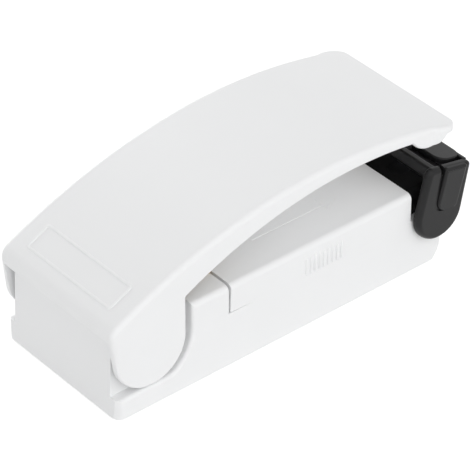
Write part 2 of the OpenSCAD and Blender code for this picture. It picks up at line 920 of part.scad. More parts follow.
// A ribbon along the carrier's lower face, with its ends turned up behind the carrier.
module heating_strip() {
    tab_x0 = carrier_x0 - metal_t;
    tab_half = bus_w / 4;
    strip_x1 = heater_x + strip_w / 2;
    strip_z = [carrier_z - strip_t, carrier_z];
    color([0.5, 0.5, 0.52])
        placed() {
            mid_box([heater_x - strip_w / 2, strip_x1], carrier_l / 2, strip_z);
            pair(carrier_l / 2 - tab_half) {
                mid_box([tab_x0, strip_x1], tab_half, strip_z);
                mid_box([tab_x0, carrier_x0], tab_half, [carrier_z - strip_t, carrier_z + carrier_h]);
            }
        }
}

module release_tape() {
    tape_half = carrier_l / 2 - bus_w / 2;
    color([0.45, 0.3, 0.18])
        placed()
            difference() {
                mid_box([carrier_x0 - tape_t, carrier_x1 + tape_t], tape_half, [tip_z, carrier_z + tape_h]);
                mid_box([carrier_x0, carrier_x1], far, [tip_z + tape_t, far]);
            }
}

// A strip under the skin from a stud to the heater, with a leg down behind the carrier.
module bus_strip() {
    leg_x1 = carrier_x0 - metal_t;
    leg_top = arch_height(leg_x1) - skin_t - metal_t / 2;
    translate([0, bus_y, 0]) {
        across(bus_w)
            arch_band(skin_t, bus_depth, spring_x - stud_d, leg_x1);
        mid_box([leg_x1 - metal_t, leg_x1], bus_w / 2, [carrier_z, leg_top]);
    }
}

module bus_strip_left() {
    color([0.8, 0.7, 0.45])
        placed()
            bus_strip();
}

module bus_strip_right() {
    color([0.8, 0.7, 0.45])
        placed()
            mirror([0, 1, 0])
                bus_strip();
}

module contact_studs() {
    color([0.8, 0.7, 0.45])
        placed()
            intersection() {
                pair(bus_y)
                    translate([spring_x, 0, stud_z])
                        cylinder(lever_top, stud_d / 2, stud_d / 2, $fn = fine);
                across(lever_w)
                    arch_2d(arch_r - bus_depth);
            }
}

module in_jaw() {
    placed()
        translate([jaw_x, 0, jaw_z])
            rotate([0, jaw_lean, 0])
                children();
}

module arm_2d() {
    circle(arm_r, $fn = fine);
    translate([-arm_r, 0])
        square([2 * arm_r, arm_h]);
}

module tongue_2d() {
    tongue_x0 = tongue_inset - arm_r;
    tongue_x1 = arm_r - tongue_margin;
    translate([tongue_x0, tongue_r - tongue_drop])
        square([tongue_x1 - tongue_x0, arm_h + tongue_drop - tongue_r]);
    translate([tongue_x0 + tongue_r, -tongue_drop])
        square([tongue_x1 - tongue_x0 - tongue_r, arm_h + tongue_drop]);
    translate([tongue_x0 + tongue_r, tongue_r - tongue_drop])
        circle(tongue_r, $fn = small);
}

module saddle_2d() {
    difference() {
        translate([-arm_r, bar_z])
            square([2 * arm_r, arm_h - bar_z]);
        translate([trough_x, trough_z])
            square([trough_w, far]);
    }
}

// The hollows between the front wall's rounded ends and the arms.
module wall_scoops() {
    difference() {
        pair(arm_in - wall_end_r)
            mid_box([wall_x0, arm_r - tongue_margin], wall_end_r, [arm_h - front_step, far]);
        linear_extrude(far)
            round_plan(wall_x0, arm_r, wall_half, wall_end_r);
    }
}

module swing_jaw() {
    color([0.06, 0.06, 0.06])
        in_jaw()
            difference() {
                union() {
                    on_sides(arm_in, arm_out)
                        arm_2d();
                    on_sides(arm_out - slip, arm_out + tongue_t)
                        tongue_2d();
                    across(2 * arm_in + 2 * slip)
                        saddle_2d();
                    translate([0, 0, arm_h - slip])
                        linear_extrude(front_wall_rise + slip)
                            round_plan(wall_x0, arm_r, wall_half, wall_end_r);
                }
                wall_scoops();
                cross_pin(0, 0, jaw_pin_d / 2 + run_gap, -slip, jaw_bore_end);
            }
}

module anvil_pad() {
    color([0.16, 0.16, 0.17])
        in_jaw()
            mid_box([trough_x, trough_x + trough_w], pad_l / 2, [trough_z, arm_h]);
}

module cover_arrow() {
    arrow_x0 = cover_x0 + (cover_l - arrow_l) / 2;
    translate([arrow_x0, 0, cover_top - arrow_h])
        linear_extrude(2 * arrow_h) {
            translate([0, -arrow_w / 2])
                square([arrow_l - arrow_head / 2, arrow_w]);
            polygon([[arrow_l - arrow_head, -arrow_head / 2], [arrow_l, 0],
                [arrow_l - arrow_head, arrow_head / 2]]);
        }
}

module battery_cover() {
    rib_run = (rib_count - 1) * rib_pitch + rib_w;
    rib_x0 = cover_x0 + (cover_l - rib_run) / 2 + rib_shift;
    color([0.93, 0.93, 0.93])
        placed() {
            translate([cover_x0, 0, 0])
                rotate([90, 0, 90])
                    linear_extrude(cover_l)
                        difference() {
                            round_top(half_w, cover_top, cover_r);
                            translate([0, -slip])
                                round_top(half_w - cover_t, cover_top - cover_t + slip, cover_r / 2);
                        }
            for (i = [0 : rib_count - 1])
                on_sides(half_w - mark_h, half_w + mark_h)
                    translate([rib_x0 + i * rib_pitch, seam_z])
                        square([rib_w, rib_h]);
            pair(arrow_y)
                cover_arrow();
        }
}

base_tray();
rear_housing();
front_block();
hinge_axle();
jaw_pins();
battery_left();
battery_right();
contact_leaf_left();
contact_leaf_right();
contact_bridge();
contact_spring_left();
contact_spring_right();
return_spring();
case_screws();
lever_shell();
lever_underplate();
heater_carrier();
heating_strip();
release_tape();
bus_strip_left();
bus_strip_right();
contact_studs();
underplate_screws();
swing_jaw();
anvil_pad();
battery_cover();
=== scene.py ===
"""Looks of the mini bag sealer: rounded moulded shells, plastics, metals, light and camera.

Sizes are in millimetres and angles in degrees where nothing else is said. X starts at the rear face and
runs to the mouth, and Z is up.
"""

import json
import math

import bmesh
import bpy
from mathutils import Matrix, Vector


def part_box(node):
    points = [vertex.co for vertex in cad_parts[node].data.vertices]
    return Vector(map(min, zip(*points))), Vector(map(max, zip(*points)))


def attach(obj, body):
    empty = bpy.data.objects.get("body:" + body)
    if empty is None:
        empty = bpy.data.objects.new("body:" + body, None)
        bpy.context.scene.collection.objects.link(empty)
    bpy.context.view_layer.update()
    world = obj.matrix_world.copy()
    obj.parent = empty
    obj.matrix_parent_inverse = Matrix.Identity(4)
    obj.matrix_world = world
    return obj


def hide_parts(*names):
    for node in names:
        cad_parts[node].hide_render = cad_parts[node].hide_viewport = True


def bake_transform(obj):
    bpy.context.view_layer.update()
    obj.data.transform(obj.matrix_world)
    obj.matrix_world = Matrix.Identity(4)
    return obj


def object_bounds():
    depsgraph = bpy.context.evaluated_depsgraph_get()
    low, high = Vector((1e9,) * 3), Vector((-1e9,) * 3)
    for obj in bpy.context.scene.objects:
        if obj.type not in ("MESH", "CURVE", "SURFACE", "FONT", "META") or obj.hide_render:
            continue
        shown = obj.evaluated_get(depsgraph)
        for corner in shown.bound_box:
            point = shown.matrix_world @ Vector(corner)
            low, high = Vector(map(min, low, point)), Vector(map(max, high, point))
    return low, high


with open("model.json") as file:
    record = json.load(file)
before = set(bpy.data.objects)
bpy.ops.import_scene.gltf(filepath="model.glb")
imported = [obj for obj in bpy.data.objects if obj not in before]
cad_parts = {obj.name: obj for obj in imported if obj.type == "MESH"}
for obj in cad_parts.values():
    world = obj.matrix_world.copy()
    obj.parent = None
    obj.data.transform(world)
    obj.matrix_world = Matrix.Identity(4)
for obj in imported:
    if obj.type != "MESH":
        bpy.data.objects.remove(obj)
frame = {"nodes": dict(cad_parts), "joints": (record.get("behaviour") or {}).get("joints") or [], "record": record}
CAD_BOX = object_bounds()

MM = 0.001
REAR_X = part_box("base_tray")[0].x
SIDES = (-1.0, 1.0)


# What the frame gives, in millimetres


def span_x(node):
    """Where a CAD piece starts and ends along the part."""
    return tuple((corner.x - REAR_X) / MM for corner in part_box(node))


def span_z(node):
    """How low and how high a CAD piece reaches."""
    return tuple(corner.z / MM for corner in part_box(node))


def half_width(node):
    """How far a CAD piece reaches from the middle plane."""
    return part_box(node)[1].y / MM


def hinge_axis(name):
    """Where a hinge's axis stands in the side view."""
    place = next(joint["pos_m"] for joint in frame["joints"] if joint["name"] == name)
    return ((place[0] - REAR_X) / MM, place[2] / MM)


# Fineness of arcs, rounded edges and shading
FULL_TURN = 360.0
ROUND_STEPS = 5
ARC_STEP = 0.9
FINE_STEP = 0.35
ARC_LEAST = 4
BAR_SIDES = 48
MITRE_LIMIT = 0.35
MERGE_GAP = 0.002
SHARP_ANGLE = math.radians(32.0)

# Lever
HINGE = hinge_axis("lever_press")
EAR_R = 9.2
LEVER_HALF = 19.4
EAR_INNER = 17.8
EAR_BORE_R = 2.05
EAR_BORE_END = 18.8
ARCH = (59.4, -85.6)
ARCH_R = 125.0
UNDER_ARCH = (60.0, 120.0)
SKIRT = (65.9, -68.36)
SKIRT_R = 104.0
NOSE = (86.9, 37.5)
NOSE_R = 6.0
LIP_X = 95.0
LIP_T = 1.7
LIP_TOP_R = 0.6
LIP_LOW_R = 0.95
LIP_EDGE_R = (0.3, 1.1)
FRONT_EDGE_R = 0.3
LIP_BLEND_X = (84.0, 91.5, 93.2, 94.3)
SKIN = 1.5
REAR_SKIRT_Z = 20.7
REAR_LEAN = 8.5
CAVITY_X = (1.6, 81.8)
REAR_CORNER_R = 3.5
SKIRT_FILLET_R = 0.4
NOSE_FILLET_R = 0.5
LIP_FILLET_R = 0.6
TOP_EDGE_R = 1.4
LOW_EDGE_R = 0.5
HEAD_FLARE = 0.6
HEAD_L = 5.75
FLARE_L = 2.0
HEAD_CORNER_R = 4.0
HEAD_STRIP = 0.25
FRAME_X = (2.3, 8.8)
FRAME_HALF = 14.4
FRAME_LINE = 0.7
FRAME_H = 0.24
FRAME_CORNER_R = 0.9
FRAME_STEPS = 6
HEATER_SLOT_X = (84.7, span_x("release_tape")[1])
HEATER_SLOT_HALF = 13.0
HEATER_SLOT_TOP = span_z("heater_carrier")[1]

# Return spring and its seats
SPRING_X = sum(span_x("return_spring")) / 2.0
SPRING_SEAT_Z = 29.5
SPRING_BOSS_R = 4.2
SPRING_SPIGOT_R = 2.4
SPRING_SPIGOT_Z = 26.3
SPRING_R = 3.2
SPRING_WIRE_R = 0.4
SPRING_TURNS = 6
SPRING_STEPS = 36
WIRE_SIDES = 12
POCKET_Z = 15.5

# Swing jaw, about its own axis and before its lean
JAW_AXIS = hinge_axis("jaw_swing")
JAW_LEAN = math.radians(11.5)
ARM_R = 7.2
ARM_H = 11.0
ARM_Y = (19.6, 21.4)
ARM_INNER_R = 0.25
ARM_EDGE_R = 0.75
ARM_REAR_EDGE_R = 1.4
ARM_CORNER_R = 0.9
ARM_REAR_CORNER_R = 1.6
ARM_TAPER = 0.7
ARM_END = (0.6, -0.7)
ARM_END_R = 6.6
TONGUE_X = (-0.7, 5.7)
TONGUE_LOW = -0.5
TONGUE_TOP = 10.9
TONGUE_CORNER_R = 2.8
TONGUE_FRONT_R = 1.6
TONGUE_TOP_R = 0.6
TONGUE_Y = half_width("swing_jaw")
TONGUE_EDGE_R = 0.7
GROOVE_W = 1.1
GROOVE_LOW = (-0.35, 1.2)
GROOVE_DEPTH = 0.45
GROOVE_FLOOR_R = 0.2
BAR_Z = 7.5
SADDLE_REAR = (-4.2, 8.55)
SADDLE_LOW_X = -3.5
TROUGH_X = (-2.3, 0.4)
TROUGH_Z = 9.8
SADDLE_EDGE_R = 0.5
RIB_FALL = 0.2
RIB_FRONT_R = 0.4
RIB_REAR_R = 0.5
PAD_X = (-3.6, 0.4)
PAD_Z = 8.7
PAD_HALF = half_width("anvil_pad")
WALL_RISE = 0.2
WALL_EDGE_R = 0.35
WALL_HALF = 18.6
WALL_END_R = 2.8
SCOOP_Z = 10.0
JAW_BORE_R = 1.55
JAW_BORE_END = 20.8
FRONT_LIP_X = 6.0
OVERLAP = 0.12
NOTCH_Z = 9.0
NOTCH_R = 0.3

# Base
HALF_W = half_width("base_tray")
FRONT_X = span_x("base_tray")[1]
SEAM_Z = span_z("rear_housing")[0]
WALL = 1.8
TRAY_CORNER_R = 2.2
TRAY_FOOT_R = 0.4
SEAM_EDGE_R = 0.05
REAR_DRAFT = 0.9
REAR_WALL_Z = span_z("base_tray")[1]
REAR_WALL_EDGE_R = 0.3
RECESS_HALF = 17.4
RECESS_R = 11.1
RECESS_FILLET_R = 4.0
RECESS_EDGE_R = 0.9
LEDGE_Z = 5.3
BEVEL = (3.3, 4.7)
REAR_BAY_X = (1.8, 22.2, 28.0)
CELL_BAY_X = (29.8, span_x("contact_bridge")[1])
AXLE_HOLE_R = 2.02
JAW_PIN_HOLE = (1.52, 13.1)
REAR_SCREW = (16.3, 8.0)
FRONT_SCREW = (88.2, 8.0)
SCREW_HOLE_R = 1.42
SCREW_HEAD_R = 2.42
SCREW_HEAD_TOP = 3.3
POST_R = 3.2
HOUSING_X = (span_x("rear_housing")[0], 20.4, span_x("rear_housing")[1])
HOUSING_HOLLOW = (12.9, 18.5)
LEAF_Y = 11.0
LEAF_HALF = 2.02

# Front block's moulded edges
BLOCK_EDGE = 0.35
BLOCK_EDGE_STEPS = 3
BLOCK_EDGE_ANGLE = math.radians(35.0)
WELD_GAP = 0.01
FLAT_ANGLE = math.radians(0.5)

# Cover
COVER_X = span_x("battery_cover")
COVER_TOP = span_z("rear_housing")[1]
COVER_T = 1.5
COVER_R = 1.4
COVER_END_R = 0.18
COVER_LEAN = 0.3
COVER_LEAN_Z = 15.0
LIFT_H = 0.22
LIFT_L = 9.0
ARROW_X = (44.25, 68.25)
ARROW_Y = 9.4
ARROW_HALF = 0.45
ARROW_HEAD = 2.0
ARROW_RISE = 0.12

# Grip ribs on the cover's sides
RIB_COUNT = 9
RIB_PITCH = 1.24
RIB_X = 51.79
RIB_W = 0.85
RIB_RISE = 0.4
RIB_Z = (13.92, 17.3)
RIB_FOOT_R = 0.05
RIB_FADE = 1.3
RIB_STEPS = 10

# Surface texture
BROAD_SCALE = 55.0
BROAD_DETAIL = 4.0
FINE_DETAIL = 3.0
GLOSS_SPREAD = 0.12
GRAIN_DEPTH = 0.02
SPECULAR = 0.5

# Stage and light, with places and sizes in metres
# Each pair for the tent is a part of the direction outwards, from -1 to 1, and the brightness there.
WHITE = (1.0, 1.0, 1.0, 1.0)
FLOOR_SIZE = 6.0
FLOOR_TONE = 0.75
FLOOR_ROUGH = 0.9
FLOOR_LIFT = 0.5
TENT_NEAR = (-0.6, 1.08)
TENT_FAR = (0.2, 0.75)
TENT_WALL = (0.7, 1.0)
TENT_ROOF = (1.0, 0.05)
KEY_PLACE = (-0.3, -1.0, 0.8)
KEY_SIZE = 2.0
KEY_POWER = 5.6
FILL_PLACE = (0.25, 1.1, 0.4)
FILL_SIZE = 0.7
FILL_POWER = 5.2

# Camera, with its place in metres
SENSOR_W = 36.0
LENS = 245.1
CAMERA_PLACE = (-0.3562, -0.4295, 0.4262)
CAMERA_RIGHT = (0.7681, -0.6403, 0.0)
CAMERA_UP = (0.3791, 0.4548, 0.8059)
CAMERA_BACK = (-0.5160, -0.6190, 0.5921)


# Places


def to_frame(x, y, z):
    """A point in millimetres from the rear face, as a point of the frame in metres."""
    return Vector((REAR_X + x * MM, y * MM, z * MM))


def plan_place(x, z, y):
    """A point of an outline in plan that is drawn out upwards."""
    return to_frame(x, y, z)


def end_place(y, x, z):
    """A point of a cross-section that is drawn out along the part."""
    return to_frame(x, y, z)


def blend(x, start, end):
    """How far x is from start to end, from nought to one."""
    return min(max((x - start) / (end - start), 0.0), 1.0)


# Outlines


def arc(centre, radius, start, end, step=ARC_STEP):
    """Points along an arc from one angle to another, in degrees, both ends included."""
    length = abs(math.radians(end - start)) * radius
    count = max(ARC_LEAST, math.ceil(length / step))
    turns = [math.radians(start + (end - start) * i / count) for i in range(count + 1)]
    return [(centre[0] + radius * math.cos(turn), centre[1] + radius * math.sin(turn)) for turn in turns]


def bearing(origin, point):
    """Direction from one point to another, in degrees."""
    return math.degrees(math.atan2(point[1] - origin[1], point[0] - origin[0]))


def meet(centre, radius, other, other_r, side):
    """Where two circles cross, on the left (+1) or the right (-1) of the line between them."""
    across, up = other[0] - centre[0], other[1] - centre[1]
    gap = math.hypot(across, up)
    along = (gap * gap + radius * radius - other_r * other_r) / (2.0 * gap)
    off = math.sqrt(radius * radius - along * along) * side
    return (centre[0] + (along * across - off * up) / gap, centre[1] + (along * up + off * across) / gap)


def height_on(centre, radius, x):
    """Height of the upper half of a circle at a place along it."""
    return centre[1] + math.sqrt(radius * radius - (x - centre[0]) ** 2)


def rounded_outline(corners):
    """A closed outline through corners given as (x, z, radius), each rounded by its radius."""
    points = []
    for i, (x, z, radius) in enumerate(corners):
        here = Vector((x, z))
        before = Vector(corners[i - 1][:2]) - here
        after = Vector(corners[(i + 1) % len(corners)][:2]) - here
        if radius <= 0.0:
            points.append((x, z))
            continue
        half = before.angle(after) / 2.0
        reach = radius / math.tan(half)
        inward = (before.normalized() + after.normalized()).normalized()
        centre = here + inward * (radius / math.sin(half))
        first = here + before.normalized() * reach
        last = here + after.normalized() * reach
        start = bearing(centre, first)
        swing = (bearing(centre, last) - start + FULL_TURN / 2.0) % FULL_TURN - FULL_TURN / 2.0
        points += arc(centre, radius, start, start + swing, FINE_STEP)
    return points


def rectangle(x, z):
    """The four corners between two places along each axis."""
    return [(x[0], z[0]), (x[1], z[0]), (x[1], z[1]), (x[0], z[1])]


def soft_rectangle(x, z, radius):
    """A rectangle with all four corners rounded."""
    return rounded_outline([(*corner, radius) for corner in rectangle(x, z)])


def ridge(half, rise, steps):
    """The half-round section of a soft ridge, whose two feet are sunk into the surface below."""
    turns = [math.pi * k / steps for k in range(steps + 1)]
    return [(half * math.cos(turn), rise * math.sin(turn) if 0 < k < steps else -rise)
            for k, turn in enumerate(turns)]


def inward_normals(outline):
    """For each corner of a counter-clockwise outline, the shift that insets both its edges by one."""
    count = len(outline)
    shifts = []
    for i in range(count):
        here = Vector(outline[i])
        back = (here - Vector(outline[i - 1])).normalized()
        ahead = (Vector(outline[(i + 1) % count]) - here).normalized()
        left_back, left_ahead = Vector((-back.y, back.x)), Vector((-ahead.y, ahead.x))
        middle = left_back + left_ahead
        shifts.append(middle / max(middle.dot(left_back), MITRE_LIMIT))
    return shifts


# Solids


def new_object(name, data):
    made = bpy.data.objects.new(name, data)
    bpy.context.scene.collection.objects.link(made)
    return made


def object_from(name, shape):
    """An object of the scene from a finished shape, which is used up."""
    mesh = bpy.data.meshes.new(name)
    shape.to_mesh(mesh)
    shape.free()
    return new_object(name, mesh)


def skin(shape, rows, loop=False):
    """Faces between neighbouring rows of points. A loop closes on itself, and other rows get end faces."""
    for row, beyond in zip(rows, rows[1:] + rows[:1] if loop else rows[1:]):
        for i in range(len(row)):
            j = (i + 1) % len(row)
            shape.faces.new((row[i], beyond[i], beyond[j], row[j]))
    if not loop:
        shape.faces.new(rows[0])
        shape.faces.new(rows[-1][::-1])
    bmesh.ops.remove_doubles(shape, verts=shape.verts, dist=MM * MERGE_GAP)
    bmesh.ops.recalc_face_normals(shape, faces=shape.faces)


def rounded_prism(name, outline, low, high, low_r, high_r, place=to_frame, over=0.0):
    """An outline in X and Z drawn out from low to high along Y, with rounded edges at both ends.

    Each radius is one number or a list with one for each point of the outline. A negative radius flares
    the end instead, so that a cutter leaves a rounded rim, and over lengthens that end.
    """
    area = sum(a[0] * b[1] - b[0] * a[1] for a, b in zip(outline, outline[1:] + outline[:1]))
    outline = outline if area > 0.0 else outline[::-1]
    radii = [end if isinstance(end, list) else [end] * len(outline) for end in (low_r, high_r)]
    if area <= 0.0:
        radii = [end[::-1] for end in radii]
    shifts = inward_normals(outline)
    turns = [math.pi / 2.0 * k / ROUND_STEPS for k in range(ROUND_STEPS + 1)]
    rings = [(radii[0], turn, low, 1.0) for turn in turns]
    rings += [(radii[1], turn, high, -1.0) for turn in turns[::-1]]
    if over > 0.0:
        rings = [(radii[0], 0.0, low - over, 1.0)] + rings + [(radii[1], 0.0, high + over, -1.0)]
    shape = bmesh.new()
    grid = []
    for ring_r, turn, end, way in rings:
        row = []
        for (x, z), shift, radius in zip(outline, shifts, ring_r):
            inset = radius * (1.0 - math.sin(turn))
            y = end + way * abs(radius) * (1.0 - math.cos(turn))
            row.append(shape.verts.new(place(x + shift.x * inset, y, z + shift.y * inset)))
        grid.append(row)
    skin(shape, grid)
    return object_from(name, shape)


def side_prism(name, outline, side, inner, outer, inner_r, outer_r, place=to_frame, over=0.0):
    """A rounded prism on one side of the middle plane, from its inner to its outer end."""
    ends = (inner, outer, inner_r, outer_r) if side > 0.0 else (-outer, -inner, outer_r, inner_r)
    return rounded_prism(name, outline, *ends, place, over)


def block(name, x, half, z):
    """A plain block across the middle plane."""
    return rounded_prism(name, rectangle(x, z), -half, half, 0.0, 0.0)


def cylinder(name, start, end, radius):
    """A round bar between two points of the frame."""
    axis = end - start
    shape = bmesh.new()
    bmesh.ops.create_cone(shape, cap_ends=True, segments=BAR_SIDES, radius1=radius * MM,
                          radius2=radius * MM, depth=axis.length)
    turn = axis.to_track_quat("Z", "Y").to_matrix().to_4x4()
    shape.transform(Matrix.Translation((start + end) / 2.0) @ turn)
    return object_from(name, shape)


def cross_bar(name, x, z, radius, half):
    """A round bar across the part."""
    return cylinder(name, to_frame(x, -half, z), to_frame(x, half, z), radius)


def upright(name, x, y, low, high, radius):
    """A round bar that stands up."""
    return cylinder(name, to_frame(x, y, low), to_frame(x, y, high), radius)


def combine(target, operation, *others):
    """Joins or cuts the target with other objects, which are used up."""
    for other in others:
        step = target.modifiers.new(operation, "BOOLEAN")
        step.operation = operation
        step.solver = "MANIFOLD"
        step.object = other
    bpy.context.view_layer.update()
    made = target.evaluated_get(bpy.context.evaluated_depsgraph_get())
    mesh = bpy.data.meshes.new_from_object(made)
    target.modifiers.clear()
    target.data = mesh
    for other in others:
        bpy.data.objects.remove(other)
    return target


def smooth(piece, weighted=True):
    """Soft shading that keeps the real edges crisp and the flat faces flat."""
    mesh = piece.data
    mesh.polygons.foreach_set("use_smooth", [True] * len(mesh.polygons))
    mesh.set_sharp_from_angle(angle=SHARP_ANGLE)
    if weighted:
        flat = piece.modifiers.new("flat_faces", "WEIGHTED_NORMAL")
        flat.keep_sharp = True
    return piece


def stands_for(piece, body, slot_name, *nodes):
    """Gives a piece its body and hides the CAD nodes that it shows; slot_name is not used."""
    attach(piece, body)
    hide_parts(*nodes)
    return piece


# The lever


def rear_corner():
    """Centre of the rounded corner between the lever's top and its leaning rear edge."""
    lean = math.radians(REAR_LEAN)
    inward = Vector((math.cos(lean), math.sin(lean)))
    along = Vector((-inward.y, inward.x))
    start = Vector(HINGE) + (REAR_CORNER_R - EAR_R) * inward - Vector(ARCH)
    side = start.dot(along)
    run = math.sqrt(side * side - start.dot(start) + (ARCH_R - REAR_CORNER_R) ** 2)
    return Vector(ARCH) + start + (run - side) * along


def edge_radius(x, radius, lip_radius):
    """The radius of the lever's edge, which gets smaller along its thin lip and again at the front."""
    along = radius + (lip_radius - radius) * blend(x, *LIP_BLEND_X[:2])
    return along + (FRONT_EDGE_R - along) * blend(x, *LIP_BLEND_X[2:])


def lever_outline():
    """The lever's side view, and the radius of its edge at each point."""
    rear_turn = FULL_TURN / 2.0 + REAR_LEAN
    fillet_x = HINGE[0] + EAR_R + SKIRT_FILLET_R
    fillet = (fillet_x, height_on(SKIRT, SKIRT_R - SKIRT_FILLET_R, fillet_x))
    nose_fillet = meet(SKIRT, SKIRT_R - NOSE_FILLET_R, NOSE, NOSE_R + NOSE_FILLET_R, 1.0)
    lip_fillet = meet(ARCH, ARCH_R - LIP_T - LIP_FILLET_R, NOSE, NOSE_R + LIP_FILLET_R, -1.0)
    low_r, low_x = ARCH_R - LIP_T + LIP_LOW_R, LIP_X - LIP_LOW_R
    front_low = (low_x, height_on(ARCH, low_r, low_x))
    front_top = (LIP_X - LIP_TOP_R, height_on(ARCH, ARCH_R - LIP_TOP_R, LIP_X - LIP_TOP_R))
    corner = rear_corner()
    low = arc(HINGE, EAR_R, rear_turn, FULL_TURN)
    low += arc(fillet, SKIRT_FILLET_R, FULL_TURN / 2.0, bearing(SKIRT, fillet), FINE_STEP)
    low += arc(SKIRT, SKIRT_R, bearing(SKIRT, fillet), bearing(SKIRT, nose_fillet))[1:]
    low += arc(nose_fillet, NOSE_FILLET_R, bearing(SKIRT, nose_fillet),
               bearing(nose_fillet, NOSE), FINE_STEP)[1:]
    low += arc(NOSE, NOSE_R, bearing(NOSE, nose_fillet) % FULL_TURN,
               FULL_TURN + bearing(NOSE, lip_fillet), FINE_STEP)[1:]
    low += arc(lip_fillet, LIP_FILLET_R, FULL_TURN / 2.0 + bearing(NOSE, lip_fillet),
               bearing(ARCH, lip_fillet), FINE_STEP)[1:]
    low += arc(ARCH, ARCH_R - LIP_T, bearing(ARCH, lip_fillet), bearing(ARCH, front_low), FINE_STEP)[1:]
    low += arc(front_low, LIP_LOW_R, bearing(ARCH, front_low) - FULL_TURN / 2.0, 0.0, FINE_STEP / 2.0)[1:]
    top = arc(front_top, LIP_TOP_R, 0.0, bearing(ARCH, front_top), FINE_STEP / 2.0)
    top += arc(ARCH, ARCH_R, bearing(ARCH, front_top), bearing(ARCH, corner))[1:]
    top += arc(corner, REAR_CORNER_R, bearing(ARCH, corner), rear_turn, FINE_STEP)[1:]
    radii = [edge_radius(x, LOW_EDGE_R, LIP_EDGE_R[0]) for x, _ in low]
    return low + top, radii + [edge_radius(x, TOP_EDGE_R, LIP_EDGE_R[1]) for x, _ in top]


def plan_half(x):
    """Half the lever's width at a place along it."""
    head_half = LEVER_HALF + HEAD_FLARE
    share = blend(x, LIP_X - HEAD_L - FLARE_L, LIP_X - HEAD_L)
    eased = share * share * (3.0 - 2.0 * share)
    half = LEVER_HALF + HEAD_FLARE * eased
    into = x - (LIP_X - HEAD_CORNER_R)
    if into > 0.0:
        into = min(into, HEAD_CORNER_R)
        half = head_half - HEAD_CORNER_R + math.sqrt(HEAD_CORNER_R ** 2 - into ** 2)
    return half


def shape_head(shell):
    """Widens the lever's head and rounds its front corners in plan."""
    shape = bmesh.new()
    shape.from_mesh(shell.data)
    start = LIP_X - HEAD_L - FLARE_L
    strips = round((LIP_X - start) / HEAD_STRIP)
    for i in range(strips):
        place = to_frame(start + (LIP_X - start) * i / strips, 0.0, 0.0)
        bmesh.ops.bisect_plane(shape, geom=shape.verts[:] + shape.edges[:] + shape.faces[:],
                               plane_co=place, plane_no=(1.0, 0.0, 0.0))
    for vert in shape.verts:
        vert.co.y *= plan_half((vert.co.x - REAR_X) / MM) / LEVER_HALF
    shape.to_mesh(shell.data)
    shape.free()
    return shell


def raised_frame():
    """A plain raised frame that follows the arch."""
    path = soft_rectangle(FRAME_X, (-FRAME_HALF, FRAME_HALF), FRAME_CORNER_R)
    half = FRAME_LINE / 2.0
    section = ridge(half, FRAME_H, FRAME_STEPS)
    shape = bmesh.new()
    grid = []
    for (x, y), shift in zip(path, inward_normals(path)):
        row = []
        for across, rise in section:
            inset = half + across
            lean = math.asin((x + shift.x * inset - ARCH[0]) / ARCH_R)
            reach = ARCH_R + rise
            row.append(shape.verts.new(to_frame(ARCH[0] + reach * math.sin(lean), y + shift.y * inset,
                                                ARCH[1] + reach * math.cos(lean))))
        grid.append(row)
    skin(shape, grid, loop=True)
    return object_from("raised_frame", shape)


def spring_boss():
    """The return spring's upper seat and spigot, up to the middle of the skin."""
    top = ARCH[1] + ARCH_R
    boss = upright("spring_boss", SPRING_X, 0.0, SPRING_SEAT_Z, top, SPRING_BOSS_R)
    spigot = upright("spigot", SPRING_X, 0.0, SPRING_SPIGOT_Z, top, SPRING_SPIGOT_R)
    under = rounded_prism("under_arch", arc(ARCH, ARCH_R - SKIN / 2.0, *UNDER_ARCH), -LEVER_HALF, LEVER_HALF,
                          0.0, 0.0)
    combine(boss, "UNION", spigot)
    return combine(boss, "INTERSECT", under)


def build_lever():
    outline, radii = lever_outline()
    shell = shape_head(rounded_prism("lever", outline, -LEVER_HALF, LEVER_HALF, radii, radii))
    inner_r = ARCH_R - SKIN
    ceiling = [(CAVITY_X[1], 0.0)]
    ceiling += arc(ARCH, inner_r, bearing(ARCH, (CAVITY_X[1], height_on(ARCH, inner_r, CAVITY_X[1]))),
                   bearing(ARCH, (CAVITY_X[0], height_on(ARCH, inner_r, CAVITY_X[0]))))
    ceiling += [(CAVITY_X[0], REAR_SKIRT_Z), (-EAR_R, REAR_SKIRT_Z), (-EAR_R, 0.0)]
    hollow = rounded_prism("hollow", ceiling, -EAR_INNER, EAR_INNER, 0.0, 0.0)
    heater_slot = block("slot", HEATER_SLOT_X, HEATER_SLOT_HALF, (0.0, HEATER_SLOT_TOP))
    combine(shell, "DIFFERENCE", hollow, heater_slot)
    combine(shell, "UNION", spring_boss())
    combine(shell, "DIFFERENCE", cross_bar("bore", *HINGE, EAR_BORE_R, EAR_BORE_END))
    combine(shell, "UNION", raised_frame())
    return stands_for(smooth(shell), "lever", "white_shell", "lever_shell")


# The return spring


def build_spring():
    """The return spring, from its foot in the housing's pocket up to its seat under the lever."""
    low, high = POCKET_Z + SPRING_WIRE_R, SPRING_SEAT_Z - SPRING_WIRE_R
    steps = SPRING_TURNS * SPRING_STEPS
    shape = bmesh.new()
    grid = []
    for i in range(steps + 1):
        turn = 2.0 * math.pi * i / SPRING_STEPS
        row = []
        for k in range(WIRE_SIDES):
            round_wire = 2.0 * math.pi * k / WIRE_SIDES
            reach = SPRING_R + SPRING_WIRE_R * math.cos(round_wire)
            z = low + (high - low) * i / steps + SPRING_WIRE_R * math.sin(round_wire)
            place = to_frame(SPRING_X + reach * math.cos(turn), reach * math.sin(turn), z)
            row.append(shape.verts.new(place))
        grid.append(row)
    skin(shape, grid)
    spring = smooth(object_from("spring", shape), weighted=False)
    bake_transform(spring)
    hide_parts("return_spring")
    return spring


# The swing jaw


def jaw_place(x, y, z):
    """A point of the jaw about its axis, leaned forward into its place."""
    level, lean = math.cos(JAW_LEAN), math.sin(JAW_LEAN)
    return to_frame(JAW_AXIS[0] + level * x + lean * z, y, JAW_AXIS[1] - lean * x + level * z)


